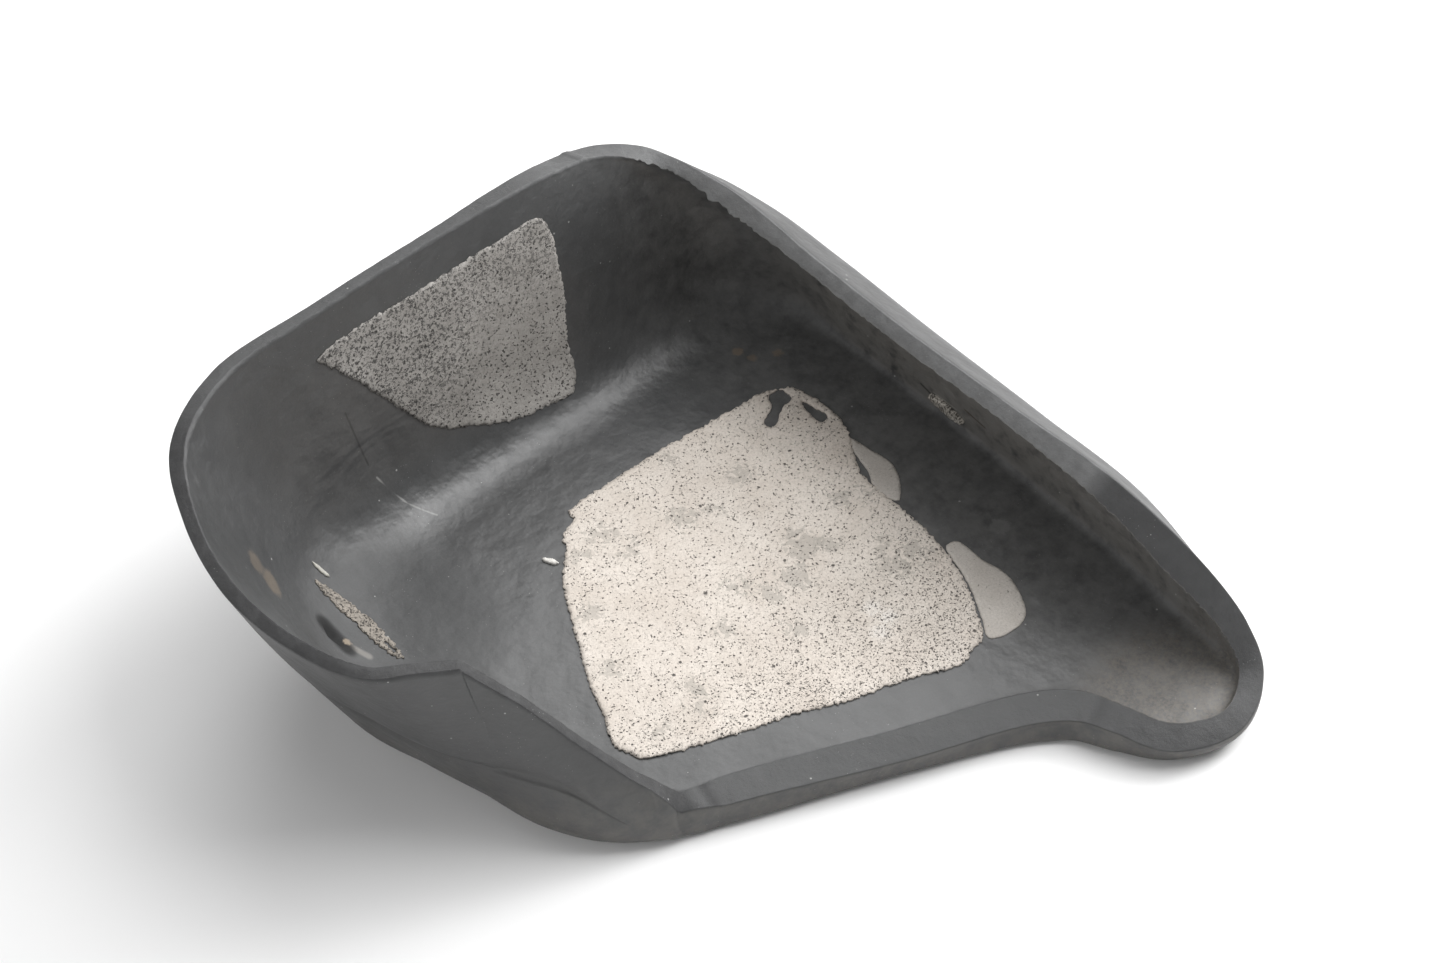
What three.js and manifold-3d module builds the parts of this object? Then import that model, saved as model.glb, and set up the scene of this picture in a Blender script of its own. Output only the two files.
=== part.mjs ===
import * as THREE from 'three';
import { ParametricGeometry } from 'three/addons/geometries/ParametricGeometry.js';
import { mergeVertices } from 'three/addons/utils/BufferGeometryUtils.js';
import Module from 'manifold-3d';

const wasm = await Module();
wasm.setup();

// Small hand tray cut from a blow-moulded plastic can, used to load a mini paint roller.
// Millimetres, +Z up, back wall toward +Y, pouring spout toward +X.

const FLOOR_THICKNESS = 6;
const COLUMNS_PER_STATION = 3;
const FLOOR_CENTRE = new THREE.Vector3(20, -48, 0);

// Sections round the tray, anticlockwise seen from above.
// floor: where the flat floor ends; foot: the corner of floor and wall; shoulder: the bend in
// the wall; rim: the inner edge of the cut lip; cove, roll and heel: how far the inner foot, the
// shoulder and the outer foot are rounded along their sides; wall and lip: the thickness;
// belly: how far the outer foot bulges beyond that thickness.
const STATIONS = [
  {
    floor: [0, 14], foot: [0, 38, 0], shoulder: [0, 44, 34], rim: [0, 49, 50.3],
    cove: 18, roll: 8, heel: 14, wall: 3, lip: 5.6, belly: 0,
  },
  {
    floor: [-24, 14], foot: [-27, 38, 0], shoulder: [-29, 44, 34], rim: [-31, 48, 52],
    cove: 18, roll: 8, heel: 14, wall: 3, lip: 3, belly: 0,
  },
  {
    floor: [-46, 8], foot: [-52, 37, 0], shoulder: [-57, 43, 34], rim: [-60, 46.5, 52],
    cove: 18, roll: 8, heel: 14, wall: 3, lip: 3, belly: 0,
  },
  {
    floor: [-56, 2], foot: [-70, 32, 0], shoulder: [-78, 40, 32], rim: [-82, 44.5, 52],
    cove: 18, roll: 8, heel: 14, wall: 3, lip: 3.4, belly: 0,
  },
  {
    floor: [-60, -6], foot: [-80, 22, 0], shoulder: [-90, 32, 32], rim: [-96.5, 36.5, 51],
    cove: 18, roll: 8, heel: 14, wall: 3, lip: 3.3, belly: 0,
  },
  {
    floor: [-63, -13], foot: [-85, 8, 0], shoulder: [-98, 20, 32], rim: [-105, 22, 50],
    cove: 18, roll: 8, heel: 14, wall: 3, lip: 2.6, belly: 0,
  },
  {
    floor: [-64, -20], foot: [-86, -6, 0], shoulder: [-102, 2, 32], rim: [-109.6, 4, 50],
    cove: 18, roll: 8, heel: 14, wall: 3.8, lip: 2.6, belly: 1.6,
  },
  {
    floor: [-64, -27], foot: [-84, -18, 0], shoulder: [-99, -12, 30], rim: [-108.5, -12, 49],
    cove: 16, roll: 8, heel: 14, wall: 3, lip: 2.4, belly: 1,
  },
  {
    floor: [-63, -33], foot: [-80, -28, 0], shoulder: [-94, -24, 28], rim: [-103, -25, 48],
    cove: 14, roll: 8, heel: 12, wall: 3, lip: 2.4, belly: 2,
  },
  {
    floor: [-62, -39], foot: [-77, -36, 0], shoulder: [-84, -33, 24], rim: [-89, -32, 45],
    cove: 12, roll: 8, heel: 12, wall: 3.5, lip: 2.2, belly: 3.4,
  },
  {
    floor: [-60, -44], foot: [-70, -43, 0], shoulder: [-76, -41.5, 18], rim: [-79, -40, 31],
    cove: 9, roll: 5, heel: 11, wall: 4, lip: 2, belly: 6.2,
  },
  {
    floor: [-57, -47], foot: [-63.5, -48, 0], shoulder: [-67.5, -48.5, 8], rim: [-69.5, -48, 16.5],
    cove: 5, roll: 3, heel: 10, wall: 5, lip: 2.2, belly: 5.8,
  },
  {
    floor: [-53, -48], foot: [-57, -52.5, 0], shoulder: [-58.5, -53.5, 1], rim: [-58.9, -53.8, 2.5],
    cove: 2, roll: 0.4, heel: 8, wall: 6, lip: 4, belly: 4.6,
  },
  {
    floor: [-46, -51], foot: [-49, -55.4, 0], shoulder: [-49.3, -56, 0.8], rim: [-49.4, -56.1, 1.6],
    cove: 2, roll: 0.3, heel: 6, wall: 6.4, lip: 6, belly: 4,
  },
  {
    floor: [-18, -63], foot: [-20, -68, 0], shoulder: [-20.2, -68.5, 0.8], rim: [-20.3, -68.7, 1.6],
    cove: 2, roll: 0.3, heel: 4, wall: 6.6, lip: 6.4, belly: 2.4,
  },
  {
    floor: [8, -74], foot: [6, -79, 0], shoulder: [5.8, -79.5, 0.8], rim: [5.7, -79.7, 1.6],
    cove: 2, roll: 0.3, heel: 4, wall: 6.6, lip: 6.4, belly: 4.2,
  },
  {
    floor: [17, -82], foot: [13.5, -85.5, 0], shoulder: [13.3, -85.8, 0.8], rim: [13.2, -86, 1.6],
    cove: 2, roll: 0.3, heel: 4, wall: 6.6, lip: 6.4, belly: 3.4,
  },
  {
    floor: [21, -92], foot: [17, -94, 0], shoulder: [16.8, -94.2, 0.8], rim: [16.7, -94.3, 1.6],
    cove: 2, roll: 0.3, heel: 4, wall: 6.4, lip: 6.2, belly: 2,
  },
  {
    floor: [25, -99], foot: [20.5, -101.5, 0], shoulder: [20.2, -102, 0.8], rim: [20, -102.3, 1.6],
    cove: 2, roll: 0.3, heel: 4, wall: 6, lip: 5.6, belly: 1.2,
  },
  {
    floor: [30, -101], foot: [29.5, -106, 0], shoulder: [29.5, -106.5, 0.8], rim: [29.5, -106.8, 1.6],
    cove: 2, roll: 0.3, heel: 4, wall: 5.5, lip: 4.8, belly: 0.4,
  },
  {
    floor: [34, -99], foot: [38, -102, 0], shoulder: [38.3, -102.5, 1.5], rim: [38.2, -102.6, 3],
    cove: 2, roll: 0.5, heel: 4, wall: 4.8, lip: 4.6, belly: 0,
  },
  {
    floor: [36, -93], foot: [40.5, -96, 0], shoulder: [40.6, -96.5, 4], rim: [38.3, -97.5, 9],
    cove: 3.5, roll: 3, heel: 5, wall: 4.6, lip: 5, belly: 0,
  },
  {
    floor: [37, -84], foot: [42, -84, 0], shoulder: [41.5, -84, 11], rim: [33.6, -85.5, 20.2],
    cove: 4, roll: 6, heel: 6, wall: 4.4, lip: 6, belly: 0,
  },
  {
    floor: [38, -70], foot: [44, -70, 0], shoulder: [42.6, -70, 17.5], rim: [31.2, -70, 28.3],
    cove: 4, roll: 10, heel: 8, wall: 4, lip: 5, belly: 0,
  },
  {
    floor: [40, -45], foot: [45.5, -45, 0], shoulder: [42.2, -45, 21], rim: [30.6, -45, 31],
    cove: 4, roll: 11, heel: 10, wall: 3.4, lip: 3.4, belly: 0,
  },
  {
    floor: [40, -15], foot: [46, -15, 0], shoulder: [42.4, -15, 22], rim: [29.8, -15, 32],
    cove: 4, roll: 11, heel: 12, wall: 3.4, lip: 3.2, belly: 0,
  },
  {
    floor: [39, 3], foot: [46, 10, 0], shoulder: [41.8, 10, 24], rim: [29.3, 10, 34],
    cove: 5, roll: 11, heel: 12, wall: 3.4, lip: 3.2, belly: 0,
  },
  {
    floor: [36, 12], foot: [45, 27, 0], shoulder: [38.7, 27.5, 28], rim: [27, 28, 38],
    cove: 8, roll: 10, heel: 14, wall: 3, lip: 3.6, belly: 0,
  },
  {
    floor: [24, 14], foot: [33, 37, 0], shoulder: [30.3, 40.3, 33], rim: [22, 42, 43],
    cove: 14, roll: 9, heel: 14, wall: 3, lip: 2.7, belly: 0,
  },
  {
    floor: [11, 14], foot: [15, 39, 0], shoulder: [14, 44.5, 34], rim: [12, 48.5, 47.5],
    cove: 18, roll: 8, heel: 14, wall: 3, lip: 5.7, belly: 0,
  },
];

const rail = (name) => new THREE.CatmullRomCurve3(
  STATIONS.map((s) => new THREE.Vector3(s[name][0], s[name][1], s[name][2] ?? 0)), true, 'centripetal');
const floorRail = rail('floor');
const footRail = rail('foot');
const shoulderRail = rail('shoulder');
const rimRail = rail('rim');
const roundRail = new THREE.CatmullRomCurve3(
  STATIONS.map((s) => new THREE.Vector3(s.cove, s.roll, s.heel)), true, 'catmullrom', 0.5);
const wallRail = new THREE.CatmullRomCurve3(
  STATIONS.map((s) => new THREE.Vector3(s.wall, s.lip, s.belly)), true, 'catmullrom', 0.5);

// Rows of the section on each piece: flat floor, rounded foot, wall, rounded shoulder, lip.
const PIECE_ROWS = [2, 1, 7, 2, 6, 2];
const SIDE_ROWS = PIECE_ROWS.reduce((sum, rows) => sum + rows, 0);

// A chain of straight pieces with both of its inner corners rounded.
const roundedChain = (centre, floor, foot, shoulder, rim, footReach, shoulderReach) => {
  const along = (from, to, reach) => from.clone().lerp(to, Math.min(0.48, reach / from.distanceTo(to)));
  const footStart = along(foot, floor, footReach);
  const footEnd = along(foot, shoulder, footReach);
  const shoulderStart = along(shoulder, foot, shoulderReach);
  const shoulderEnd = along(shoulder, rim, shoulderReach);
  return [
    new THREE.LineCurve3(centre, floor),
    new THREE.LineCurve3(floor, footStart),
    new THREE.QuadraticBezierCurve3(footStart, foot, footEnd),
    new THREE.LineCurve3(footEnd, shoulderStart),
    new THREE.QuadraticBezierCurve3(shoulderStart, shoulder, shoulderEnd),
    new THREE.LineCurve3(shoulderEnd, rim),
  ];
};

const pointOn = (chain, row) => {
  let left = row;
  let piece = 0;
  while (piece < chain.length - 1 && left > PIECE_ROWS[piece]) {
    left -= PIECE_ROWS[piece];
    piece += 1;
  }
  return chain[piece].getPoint(left / PIECE_ROWS[piece]);
};

const sectionAt = (turn) => {
  const floor = floorRail.getPoint(turn);
  const foot = footRail.getPoint(turn);
  const shoulder = shoulderRail.getPoint(turn);
  const rim = rimRail.getPoint(turn);
  const { x: cove, y: roll, z: heel } = roundRail.getPoint(turn);
  const { x: wall, y: lip, z: belly } = wallRail.getPoint(turn);
  const inner = roundedChain(FLOOR_CENTRE, floor, foot, shoulder, rim, cove, roll);

  const outOf = (from, to, around) => to.clone().sub(from).cross(around).normalize().negate();
  const wallNormal = outOf(foot, shoulder, footRail.getTangent(turn));
  const lipNormal = outOf(shoulder, rim, rimRail.getTangent(turn));
  const outward = wallNormal.clone().setZ(0).normalize();
  const down = new THREE.Vector3(0, 0, -FLOOR_THICKNESS);
  const reach = (wall + FLOOR_THICKNESS * wallNormal.z) / outward.dot(wallNormal) + belly;
  const outerFoot = foot.clone().addScaledVector(outward, reach).add(down);
  const spread = wall / (1 + wallNormal.dot(lipNormal));
  const outerShoulder = shoulder.clone().add(wallNormal.clone().add(lipNormal).multiplyScalar(spread));
  const outerRim = rim.clone().addScaledVector(lipNormal, lip);
  const outer = roundedChain(
    FLOOR_CENTRE.clone().add(down), floor.clone().add(down), outerFoot, outerShoulder, outerRim,
    heel, roll + wall * 0.4);
  return { inner, outer };
};

const COLUMNS = STATIONS.length * COLUMNS_PER_STATION;
const ROWS = SIDE_ROWS * 2 + 1;

const shellGeometry = () => {
  const sections = Array.from({ length: COLUMNS }, (_, i) => sectionAt(i / COLUMNS));
  return new ParametricGeometry((u, v, target) => {
    const { inner, outer } = sections[(COLUMNS - Math.round(u * COLUMNS)) % COLUMNS];
    const row = Math.round(v * ROWS);
    target.copy(row <= SIDE_ROWS ? pointOn(inner, row) : pointOn(outer, ROWS - row));
  }, COLUMNS, ROWS);
};

const solidOf = (geometry) => {
  const bare = new THREE.BufferGeometry().setAttribute('position', geometry.getAttribute('position'));
  bare.setIndex(geometry.index);
  const joined = mergeVertices(bare, 1e-3);
  return new wasm.Manifold(new wasm.Mesh({
    numProp: 3,
    vertProperties: joined.getAttribute('position').array,
    triVerts: new Uint32Array(joined.index.array),
  }));
};

const geometryOf = (solid) => {
  const mesh = solid.getMesh();
  const geometry = new THREE.BufferGeometry();
  geometry.setAttribute('position', new THREE.BufferAttribute(mesh.vertProperties, 3));
  geometry.setIndex(new THREE.BufferAttribute(mesh.triVerts, 1));
  return geometry;
};

// A thin layer that follows the inner surface at a small clearance: the dried paint is cut from it.
const CLEARANCE = 0.3;
const layerGeometry = (depth) => {
  const sections = Array.from({ length: COLUMNS }, (_, i) => sectionAt(i / COLUMNS).inner);
  const grid = sections.map(
    (chain) => Array.from({ length: SIDE_ROWS + 1 }, (_, row) => pointOn(chain, row)));
  const raised = (column, row, height) => {
    const here = grid[column][row];
    if (here.z < 1e-6) {
      return here.clone().add(new THREE.Vector3(0, 0, height));
    }
    const after = grid[(column + 1) % COLUMNS][row];
    const before = grid[(column + COLUMNS - 1) % COLUMNS][row];
    const above = grid[column][Math.min(row + 1, SIDE_ROWS)];
    const below = grid[column][row - 1];
    const normal = above.clone().sub(below).cross(after.clone().sub(before)).normalize();
    return here.clone().addScaledVector(normal, height);
  };
  const rows = SIDE_ROWS * 2 + 1;
  return new ParametricGeometry((u, v, target) => {
    const column = (COLUMNS - Math.round(u * COLUMNS)) % COLUMNS;
    const row = Math.round(v * rows);
    const top = row <= SIDE_ROWS;
    target.copy(raised(column, top ? row : rows - row, top ? CLEARANCE + depth : CLEARANCE));
  }, COLUMNS, rows);
};

// A straight-sided cutter: the outline is drawn on the plane of across and up, then pushed through.
const cutter = (outline, across, up, origin, depth, openings = []) => {
  const shape = new THREE.Shape(outline.map(([a, b]) => new THREE.Vector2(a, b)));
  shape.holes = openings.map((points) => new THREE.Path(points.map(([a, b]) => new THREE.Vector2(a, b))));
  const geometry = new THREE.ExtrudeGeometry(shape, { depth, bevelEnabled: false });
  const frame = new THREE.Matrix4().makeBasis(across, up, across.clone().cross(up)).setPosition(origin);
  return geometry.applyMatrix4(frame);
};

const X = new THREE.Vector3(1, 0, 0);
const Y = new THREE.Vector3(0, 1, 0);
const Z = new THREE.Vector3(0, 0, 1);
const FLOOR_VIEW = { across: X, up: Y, origin: new THREE.Vector3(0, 0, -2), depth: 16 };
const REAR_VIEW = { across: X, up: Z, origin: new THREE.Vector3(0, 60, 0), depth: 30 };
const SIDE_VIEW = { across: Y, up: Z, origin: new THREE.Vector3(40, 0, 0), depth: 12 };

const oval = (centre, long, short, tilt, count) => Array.from({ length: count }, (_, i) => {
  const angle = (i / count) * Math.PI * 2;
  const turned = new THREE.Vector2(Math.cos(angle) * long / 2, Math.sin(angle) * short / 2)
    .rotateAround(new THREE.Vector2(), THREE.MathUtils.degToRad(tilt));
  return [centre[0] + turned.x, centre[1] + turned.y];
});

const RESIDUES = [
  {
    name: 'floor_paint_film',
    colour: 0xcfc6bb,
    depth: 0.5,
    view: FLOOR_VIEW,
    outline: [
      [26, 10.5], [11.5, 12], [-5, 13.8], [-17, 13.8], [-29.5, 13.8], [-36.4, 7], [-45.7, -4.9],
      [-52, -17.1], [-56.5, -25.3], [-58, -31.2], [-61, -37.1], [-60, -44.5], [-49.2, -49.3],
      [-30.9, -55.8], [-18.6, -60.2], [-8.2, -65.2], [2, -69], [8.4, -68.8], [15.6, -60.4], [18.7, -52.3], [20.5, -44.6], [22.3, -36.8],
      [21.4, -26], [22.2, -19.4], [26.4, -13], [28.4, -6.5], [29.6, 2.7],
    ],
    openings: [
      [[22.6, 9], [20.4, 7.6], [20.6, 4.4], [19.4, 2.6], [18.4, 3.4], [19.2, 6], [18.8, 8.6]],
      [[25.8, 2.2], [26.4, -1.6], [25.4, -1.4], [24.6, 1]],
    ],
  },
  {
    name: 'floor_spill_back',
    colour: 0xc4bab0,
    depth: 0.4,
    view: FLOOR_VIEW,
    outline: [
      [27.4, -14.2], [30, -18.9], [28.9, -23.9], [25, -28.4], [22.8, -28.4], [22.8, -24.7], [23.4, -20.4],
    ],
  },
  {
    name: 'floor_spill_side',
    colour: 0xb9b1a9,
    depth: 0.4,
    view: FLOOR_VIEW,
    outline: [
      [22.9, -45.1], [25.3, -47.6], [24.9, -54.6], [24.3, -61.6], [21.7, -67.4], [17.7, -70.1], [12, -67.6],
      [17, -60.9], [19.8, -54.3], [21.4, -49.6],
    ],
  },
  {
    name: 'rear_wall_paint_film',
    colour: 0x9c9793,
    depth: 0.4,
    view: REAR_VIEW,
    outline: [
      [-5.8, 43.1], [-3.9, 36.9], [-4.6, 26], [-5.6, 14.8], [-6.3, 6.5], [-8.5, 4.3], [-15.9, 4.8],
      [-23.1, 5.3],
      [-33.8, 8.6], [-41.9, 13.5], [-47.1, 21.7], [-52.5, 29.7], [-57.6, 37.5], [-62.5, 43], [-55.5, 45],
      [-46.4, 43.6], [-34.4, 43.8], [-12.4, 44.1],
    ],
  },
  {
    name: 'side_wall_paint_strip',
    colour: 0x9d918c,
    depth: 0.4,
    view: FLOOR_VIEW,
    outline: [
      [-80.6, 26.4], [-78.6, 25.8], [-76.5, 22.4], [-75, 18.2], [-74.6, 12.6], [-75, 5.8], [-77, 7],
      [-78.2, 12.5],
      [-78.6, 18.3], [-79.8, 22.2],
    ],
  },
  {
    name: 'side_wall_paint_fleck',
    colour: 0xb5b3a6,
    depth: 0.4,
    view: FLOOR_VIEW,
    outline: oval([-77.6, 28.4], 2.8, 0.8, -50, 12),
  },
  {
    name: 'loose_paint_flake',
    colour: 0xe6e3dc,
    depth: 0.6,
    view: FLOOR_VIEW,
    outline: oval([-40.4, 5.4], 3, 1.2, -60, 14),
  },
  {
    name: 'right_wall_crust',
    colour: 0xaaa398,
    depth: 0.5,
    view: SIDE_VIEW,
    outline: [[-12.4, 4], [-14.6, 5.2], [-18.4, 5.2], [-22, 4], [-23.2, 2.8], [-19.4, 1.8], [-15, 2.2]],
  },
];

const shell = shellGeometry();
const footprint = new THREE.Box3().setFromBufferAttribute(shell.getAttribute('position'));
const middle = footprint.getCenter(new THREE.Vector3());
const toBench = new THREE.Matrix4().makeTranslation(-middle.x, -middle.y, -footprint.min.z);

const group = new THREE.Group();
group.name = 'paint_roller_tray';
const add = (name, geometry, color, roughness) => {
  const material = new THREE.MeshStandardMaterial({ color, roughness });
  const mesh = new THREE.Mesh(geometry.applyMatrix4(toBench), material);
  mesh.name = name;
  group.add(mesh);
};
add('tray_shell', shell, 0x515457, 0.5);
for (const { name, colour, depth, view, outline, openings } of RESIDUES) {
  const layer = solidOf(layerGeometry(depth));
  const block = solidOf(cutter(outline, view.across, view.up, view.origin, view.depth, openings));
  const cut = layer.intersect(block);
  add(name, geometryOf(cut), colour, 0.8);
}

export default group;
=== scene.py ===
import math
import random

import bmesh
import bpy
import numpy as np
from mathutils import Matrix, Vector, geometry, noise
from mathutils.bvhtree import BVHTree


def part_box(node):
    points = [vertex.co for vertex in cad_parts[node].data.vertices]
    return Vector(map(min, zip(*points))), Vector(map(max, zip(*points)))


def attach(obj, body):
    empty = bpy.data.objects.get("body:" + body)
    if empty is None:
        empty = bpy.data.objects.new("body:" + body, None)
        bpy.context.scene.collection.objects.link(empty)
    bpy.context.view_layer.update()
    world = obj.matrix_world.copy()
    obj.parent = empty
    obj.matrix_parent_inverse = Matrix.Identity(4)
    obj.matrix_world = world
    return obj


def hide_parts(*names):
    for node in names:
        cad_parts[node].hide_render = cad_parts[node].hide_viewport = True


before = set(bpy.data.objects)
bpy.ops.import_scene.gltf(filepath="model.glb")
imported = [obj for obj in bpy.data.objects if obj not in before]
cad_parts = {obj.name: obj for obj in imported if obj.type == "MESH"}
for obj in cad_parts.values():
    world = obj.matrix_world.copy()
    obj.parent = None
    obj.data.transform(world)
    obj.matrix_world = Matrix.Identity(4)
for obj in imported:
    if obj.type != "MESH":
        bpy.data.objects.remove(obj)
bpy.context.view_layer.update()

# ---------------------------------------------------------------- tray shell
# One blow-moulded shell of dark grey plastic, cut out of a fluid can with a knife. The can's broad
# side is the floor, a steep wall stands at the back and left, the right wall rolls over inward, and
# half of the can's thick neck is left as a pouring spout. Nothing is fixed to it.

FLOOR_THICKNESS = 6.0
FLOOR_CENTRE = np.array([20.0, -48.0, 0.0])

# Sections round the tray in millimetres, anticlockwise from above, from the middle of the back
# wall: floor edge, wall foot, shoulder, rim, then how far foot, shoulder and outer heel are
# rounded, the wall's thickness at the shoulder and at the lip, and the outer belly.
SECTIONS = [
    ((0, 14), (0, 38, 0), (0, 44, 34), (0, 49, 50.3), (18, 8, 14), (3, 5.6, 0)),
    ((-24, 14), (-27, 38, 0), (-29, 44, 34), (-31, 48, 52), (18, 8, 14), (3, 3, 0)),
    ((-46, 8), (-52, 37, 0), (-57, 43, 34), (-60, 46.5, 52), (18, 8, 14), (3, 3, 0)),
    ((-56, 2), (-70, 32, 0), (-78, 40, 32), (-82, 44.5, 52), (18, 8, 14), (3, 3.4, 0)),
    ((-60, -6), (-80, 22, 0), (-90, 32, 32), (-96.5, 36.5, 51), (18, 8, 14), (3, 3.3, 0)),
    ((-63, -13), (-85, 8, 0), (-98, 20, 32), (-105, 22, 50), (18, 8, 14), (3, 2.6, 0)),
    ((-64, -20), (-86, -6, 0), (-102, 2, 32), (-109.6, 4, 50), (18, 8, 14), (3.8, 2.6, 1.6)),
    ((-64, -27), (-84, -18, 0), (-99, -12, 30), (-108.5, -12, 49), (16, 8, 14), (3, 2.4, 1)),
    ((-63, -33), (-80, -28, 0), (-94, -24, 28), (-103, -25, 48), (14, 8, 12), (3, 2.4, 2)),
    ((-62, -39), (-77, -36, 0), (-84, -33, 24), (-89, -32, 45), (12, 8, 12), (3.5, 2.2, 3.4)),
    ((-60, -44), (-70, -43, 0), (-76, -41.5, 18), (-79, -40, 31), (9, 5, 11), (4, 2, 6.2)),
    ((-57, -47), (-63.5, -48, 0), (-67.5, -48.5, 8), (-69.5, -48, 16.5), (5, 3, 10), (5, 2.2, 5.8)),
    ((-53, -48), (-57, -52.5, 0), (-58.5, -53.5, 1), (-58.9, -53.8, 2.5), (2, 0.4, 8), (6, 4, 4.6)),
    ((-46, -51), (-49, -55.4, 0), (-49.3, -56, 0.8), (-49.4, -56.1, 1.6), (2, 0.3, 6), (6.4, 6, 4)),
    ((-18, -63), (-20, -68, 0), (-20.2, -68.5, 0.8), (-20.3, -68.7, 1.6), (2, 0.3, 4), (6.6, 6.4, 2.4)),
    ((8, -74), (6, -79, 0), (5.8, -79.5, 0.8), (5.7, -79.7, 1.6), (2, 0.3, 4), (6.6, 6.4, 4.2)),
    ((17, -82), (13.5, -85.5, 0), (13.3, -85.8, 0.8), (13.2, -86, 1.6), (2, 0.3, 4), (6.6, 6.4, 3.4)),
    ((21, -92), (17, -94, 0), (16.8, -94.2, 0.8), (16.7, -94.3, 1.6), (2, 0.3, 4), (6.4, 6.2, 2)),
    ((25, -99), (20.5, -101.5, 0), (20.2, -102, 0.8), (20, -102.3, 1.6), (2, 0.3, 4), (6, 5.6, 1.2)),
    ((30, -101), (29.5, -106, 0), (29.5, -106.5, 0.8), (29.5, -106.8, 1.6), (2, 0.3, 4), (5.5, 4.8, 0.4)),
    ((34, -99), (38, -102, 0), (38.3, -102.5, 1.5), (38.2, -102.6, 3), (2, 0.5, 4), (4.8, 4.6, 0)),
    ((36, -93), (40.5, -96, 0), (40.6, -96.5, 4), (38.3, -97.5, 9), (2, 3, 5), (4.6, 5, 0)),
    ((37, -84), (42, -84, 0), (41.5, -84, 11), (33.6, -85.5, 20.2), (2, 6, 6), (4.4, 6, 0)),
    ((38, -70), (44, -70, 0), (42.6, -70, 17.5), (31.2, -70, 28.3), (2, 10, 8), (4, 5, 0)),
    ((40, -45), (45.5, -45, 0), (42.2, -45, 21), (30.6, -45, 31), (2, 11, 10), (3.4, 3.4, 0)),
    ((40, -15), (46, -15, 0), (42.4, -15, 22), (29.8, -15, 32), (2, 11, 12), (3.4, 3.2, 0)),
    ((39, 3), (46, 10, 0), (41.8, 10, 24), (29.3, 10, 34), (2.5, 11, 12), (3.4, 3.2, 0)),
    ((36, 12), (45, 27, 0), (38.7, 27.5, 28), (27, 28, 38), (8, 10, 14), (3, 3.6, 0)),
    ((24, 14), (33, 37, 0), (30.3, 40.3, 33), (22, 42, 43), (14, 9, 14), (3, 2.7, 0)),
    ((11, 14), (15, 39, 0), (14, 44.5, 34), (12, 48.5, 47.5), (18, 8, 14), (3, 5.7, 0)),
]


def rail(points, turns, even=False):
    """Points of a smooth closed curve through the sections, at these turns of 0 to 1."""
    points = np.array([tuple(p) + (0,) * (3 - len(p)) for p in points], float)
    place = (np.asarray(turns) % 1.0) * len(points)
    step = np.floor(place).astype(int)
    t = (place - step)[:, None]
    p0, p1, p2, p3 = (points[(step + k) % len(points)] for k in (-1, 0, 1, 2))
    if even:
        start, end = (p2 - p0) / 2, (p3 - p1) / 2
    else:
        d0, d1, d2 = (np.sqrt(np.linalg.norm(b - a, axis=1))[:, None]
                      for a, b in ((p0, p1), (p1, p2), (p2, p3)))
        start = ((p1 - p0) / d0 - (p2 - p0) / (d0 + d1) + (p2 - p1) / d1) * d1
        end = ((p2 - p1) / d1 - (p3 - p1) / (d1 + d2) + (p3 - p2) / d2) * d1
    return (p1 + start * t + (3 * (p2 - p1) - 2 * start - end) * t**2
            + (2 * (p1 - p2) + start + end) * t**3)


def unit(vectors):
    return vectors / np.linalg.norm(vectors, axis=-1, keepdims=True)


def rounded_chain(centre, floor, foot, shoulder, rim, foot_reach, shoulder_reach, rows):
    """Straight pieces with two rounded corners, as a list of rings from the centre to the rim."""
    def along(start, end, reach):
        gap = np.linalg.norm(end - start, axis=1, keepdims=True)
        return start + (end - start) * np.minimum(0.48, reach / gap)

    def line(a, b):
        return lambda t: a + (b - a) * t

    def bend(a, b, c):
        return lambda t: a * (1 - t)**2 + b * 2 * t * (1 - t) + c * t * t

    foot_in, foot_out = along(foot, floor, foot_reach), along(foot, shoulder, foot_reach)
    turn_in, turn_out = along(shoulder, foot, shoulder_reach), along(shoulder, rim, shoulder_reach)
    pieces = [line(centre, floor), line(floor, foot_in), bend(foot_in, foot, foot_out),
              line(foot_out, turn_in), bend(turn_in, shoulder, turn_out), line(turn_out, rim)]
    rings = []
    for piece, count in zip(pieces, rows):
        rings += [piece(i / count) for i in range(count)]
    return rings + [rim]


COLUMNS = 30 * 32
turns = np.arange(COLUMNS) / COLUMNS
station = turns * 30
floor_edge = rail([s[0] for s in SECTIONS], turns)
foot = rail([s[1] for s in SECTIONS], turns)
shoulder = rail([s[2] for s in SECTIONS], turns)
rim = rail([s[3] for s in SECTIONS], turns)
cove, roll, heel = rail([s[4] for s in SECTIONS], turns, even=True).T[:, :, None]
wall, lip, belly = rail([s[5] for s in SECTIONS], turns, even=True).T[:, :, None]


def waver(values, scale, seed):
    """Smooth noise of -1 to 1 along a list of numbers."""
    return np.array([noise.noise((v * scale, seed, 0.5)) for v in values])


def stretch(start, end, fade=0.5):
    """1 between two stations and 0 elsewhere, easing in and out."""
    rise = np.clip((station - start) / fade + 0.5, 0, 1)
    fall = np.clip((end - station) / fade + 0.5, 0, 1)
    return (rise * fall)[:, None]


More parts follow.
